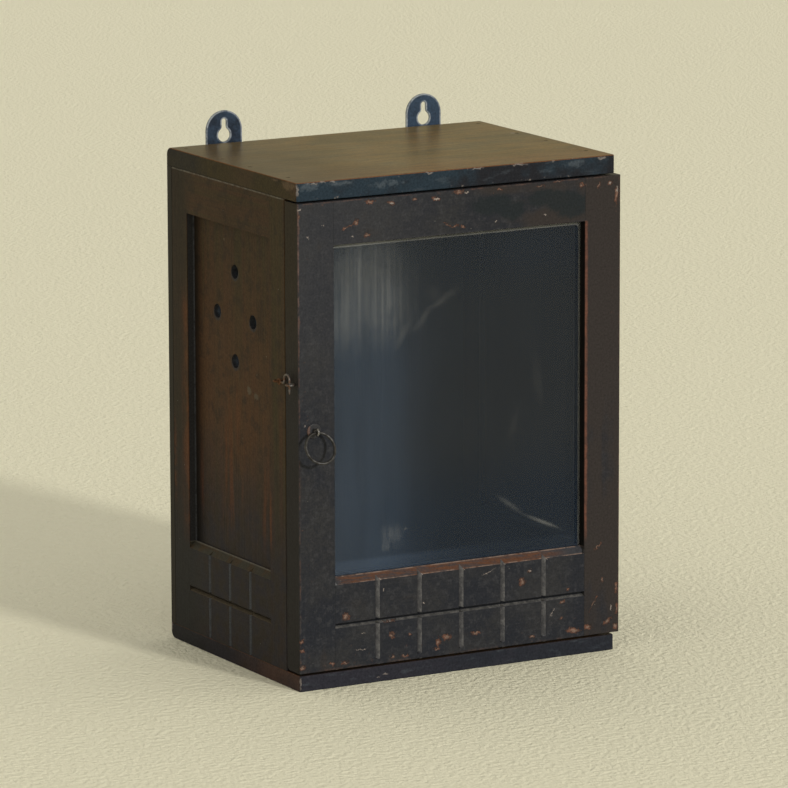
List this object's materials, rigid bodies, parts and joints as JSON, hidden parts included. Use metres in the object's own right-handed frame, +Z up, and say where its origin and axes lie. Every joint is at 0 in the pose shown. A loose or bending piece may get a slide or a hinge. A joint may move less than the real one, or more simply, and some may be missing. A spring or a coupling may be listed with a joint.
{
  "type": "display cabinet",
  "caption": "Small wall-hung wooden display cabinet with a glazed side-hinged door, carved lower rails, ring pull, hook-and-eye latch and keyhole hanger plates.",
  "frame": {"origin": "midway between the two keyhole heads of the hanger plates, on the wall plane", "axes": "+Z up, +Y into the wall, +X to the right seen from the front; the door faces -Y"},
  "size_m": [0.3428, 0.2697, 0.4895],
  "materials": {
    "top_wood": "worn varnish",
    "case_wood": "dark worn varnish",
    "door_paint": "worn black paint",
    "bead_wood": "satin",
    "window_glass": "hazy",
    "plate_steel": "darkened",
    "hinge_steel": "dull",
    "pull_steel": "tarnished",
    "latch_iron": "rusty",
    "nail_iron": "dull"
  },
  "bodies": {
    "case": {"back_panel": "case_wood", "back_panel_nails": "nail_iron", "bottom_board": "case_wood", "bottom_board_nails": "nail_iron", "hanger_screws": "plate_steel", "hinge_case_screws": "hinge_steel", "latch_case_eye": "latch_iron", "left_back_stile": "case_wood", "left_bottom_rail": "case_wood", "left_front_stile": "case_wood", "left_hanger_plate": "plate_steel", "left_panel": "case_wood", "left_top_rail": "case_wood", "lower_hinge_case_leaf": "hinge_steel", "lower_hinge_pin": "hinge_steel", "right_back_stile": "case_wood", "right_bottom_rail": "case_wood", "right_front_stile": "case_wood", "right_hanger_plate": "plate_steel", "right_panel": "case_wood", "right_top_rail": "case_wood", "top_board": "top_wood", "top_board_nails": "nail_iron", "upper_hinge_case_leaf": "hinge_steel", "upper_hinge_pin": "hinge_steel"},
    "door": {"bottom_glass_bead": "bead_wood", "door_bottom_rail": "door_paint", "door_glass": "window_glass", "door_left_stile": "door_paint", "door_right_stile": "door_paint", "door_top_rail": "door_paint", "hinge_door_screws": "hinge_steel", "latch_door_eye": "latch_iron", "left_glass_bead": "bead_wood", "lower_hinge_door_leaf": "hinge_steel", "pull_eye": "pull_steel", "pull_rosette": "pull_steel", "right_glass_bead": "bead_wood", "top_glass_bead": "bead_wood", "upper_hinge_door_leaf": "hinge_steel"},
    "ring": {"pull_ring": "pull_steel"},
    "hook": {"latch_hook": "latch_iron"}
  },
  "joints": [
    {"name": "door_hinge", "type": "hinge", "parent": "case", "child": "door", "pos_m": [0.16725, -0.2255, -0.2165], "axis": [0, 0, 1], "range_deg": [0, 180]},
    {"name": "ring_swing", "type": "hinge", "parent": "door", "child": "ring", "pos_m": [-0.14925, -0.256, -0.2304], "axis": [-1, 0, 0], "range_deg": [-33, 110]},
    {"name": "hook_lift", "type": "hinge", "parent": "case", "child": "hook", "pos_m": [-0.16885, -0.2222, -0.1878], "axis": [-1, 0, 0], "range_deg": [0, 110]}
  ]
}
